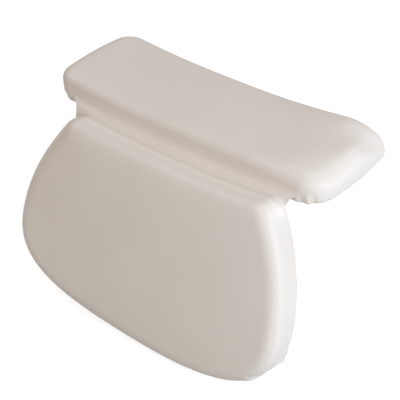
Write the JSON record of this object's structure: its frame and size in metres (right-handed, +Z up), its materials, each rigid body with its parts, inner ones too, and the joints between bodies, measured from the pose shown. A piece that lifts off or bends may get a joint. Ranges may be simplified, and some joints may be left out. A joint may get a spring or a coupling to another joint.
{
  "type": "bath pillow",
  "caption": "Folding bath pillow: a padded vinyl flap for the tub's rim and a D-shaped back panel on a welded web, both with suction cups behind.",
  "frame": {"origin": "on the plane of the tub's rim, under the middle of the flap's centre suction cup", "axes": "+Z up, +X along the fold to the bather's left, +Y back over the rim, away from the bather"},
  "size_m": [0.332, 0.1998, 0.2177],
  "materials": {
    "vinyl_skin": "smooth satin ivory vinyl",
    "back_vinyl": "fine-grained ivory vinyl",
    "foam": "open-cell foam",
    "cup_vinyl": "glossy milky soft vinyl",
    "nylon": "moulded nylon"
  },
  "bodies": {
    "flap": {"flap_front_skin": "vinyl_skin", "flap_foam_core": "foam", "flap_back_sheet": "back_vinyl", "flap_patch_left": "back_vinyl", "flap_washer_left": "nylon", "flap_patch_centre": "back_vinyl", "flap_washer_centre": "nylon", "flap_patch_right": "back_vinyl", "flap_washer_right": "nylon"},
    "web": {"hinge_web_front_ply": "vinyl_skin", "hinge_web_back_ply": "back_vinyl"},
    "panel": {"panel_front_skin": "vinyl_skin", "panel_foam_core": "foam", "panel_back_sheet": "back_vinyl", "panel_patch_upper_left": "back_vinyl", "panel_washer_upper_left": "nylon", "panel_patch_upper_right": "back_vinyl", "panel_washer_upper_right": "nylon", "panel_patch_lower_left": "back_vinyl", "panel_washer_lower_left": "nylon", "panel_patch_lower_right": "back_vinyl", "panel_washer_lower_right": "nylon"},
    "flap_cup_left": {"flap_cup_left": "cup_vinyl"},
    "flap_cup_centre": {"flap_cup_centre": "cup_vinyl"},
    "flap_cup_right": {"flap_cup_right": "cup_vinyl"},
    "panel_cup_upper_left": {"panel_cup_upper_left": "cup_vinyl"},
    "panel_cup_upper_right": {"panel_cup_upper_right": "cup_vinyl"},
    "panel_cup_lower_left": {"panel_cup_lower_left": "cup_vinyl"},
    "panel_cup_lower_right": {"panel_cup_lower_right": "cup_vinyl"}
  },
  "joints": [
    {"name": "rim_crease", "type": "hinge", "parent": "flap", "child": "web", "pos_m": [0, -0.0556, 0.0233], "axis": [1, 0, 0], "range_deg": [-36.5, 15]},
    {"name": "panel_crease", "type": "hinge", "parent": "web", "child": "panel", "pos_m": [0, -0.06605, 0.01557], "axis": [1, 0, 0], "range_deg": [-36.5, 15]},
    {"name": "flap_cup_left_turn", "type": "hinge", "parent": "flap", "child": "flap_cup_left", "pos_m": [-0.105, 0, 0], "axis": [0, 0, -1], "continuous": true},
    {"name": "flap_cup_centre_turn", "type": "hinge", "parent": "flap", "child": "flap_cup_centre", "pos_m": [0, 0, 0], "axis": [0, 0, -1], "continuous": true},
    {"name": "flap_cup_right_turn", "type": "hinge", "parent": "flap", "child": "flap_cup_right", "pos_m": [0.105, 0, 0], "axis": [0, 0, -1], "continuous": true},
    {"name": "panel_cup_upper_left_turn", "type": "hinge", "parent": "panel", "child": "panel_cup_upper_left", "pos_m": [-0.095, -0.06356, -0.04229], "axis": [0, 0.9563, -0.2924], "continuous": true},
    {"name": "panel_cup_upper_right_turn", "type": "hinge", "parent": "panel", "child": "panel_cup_upper_right", "pos_m": [0.095, -0.06356, -0.04229], "axis": [0, 0.9563, -0.2924], "continuous": true},
    {"name": "panel_cup_lower_left_turn", "type": "hinge", "parent": "panel", "child": "panel_cup_lower_left", "pos_m": [-0.075, -0.08812, -0.12262], "axis": [0, 0.9563, -0.2924], "continuous": true},
    {"name": "panel_cup_lower_right_turn", "type": "hinge", "parent": "panel", "child": "panel_cup_lower_right", "pos_m": [0.075, -0.08812, -0.12262], "axis": [0, 0.9563, -0.2924], "continuous": true}
  ],
  "couplings": [
    {"joint": "panel_crease", "follows": "rim_crease", "ratio": 1}
  ]
}
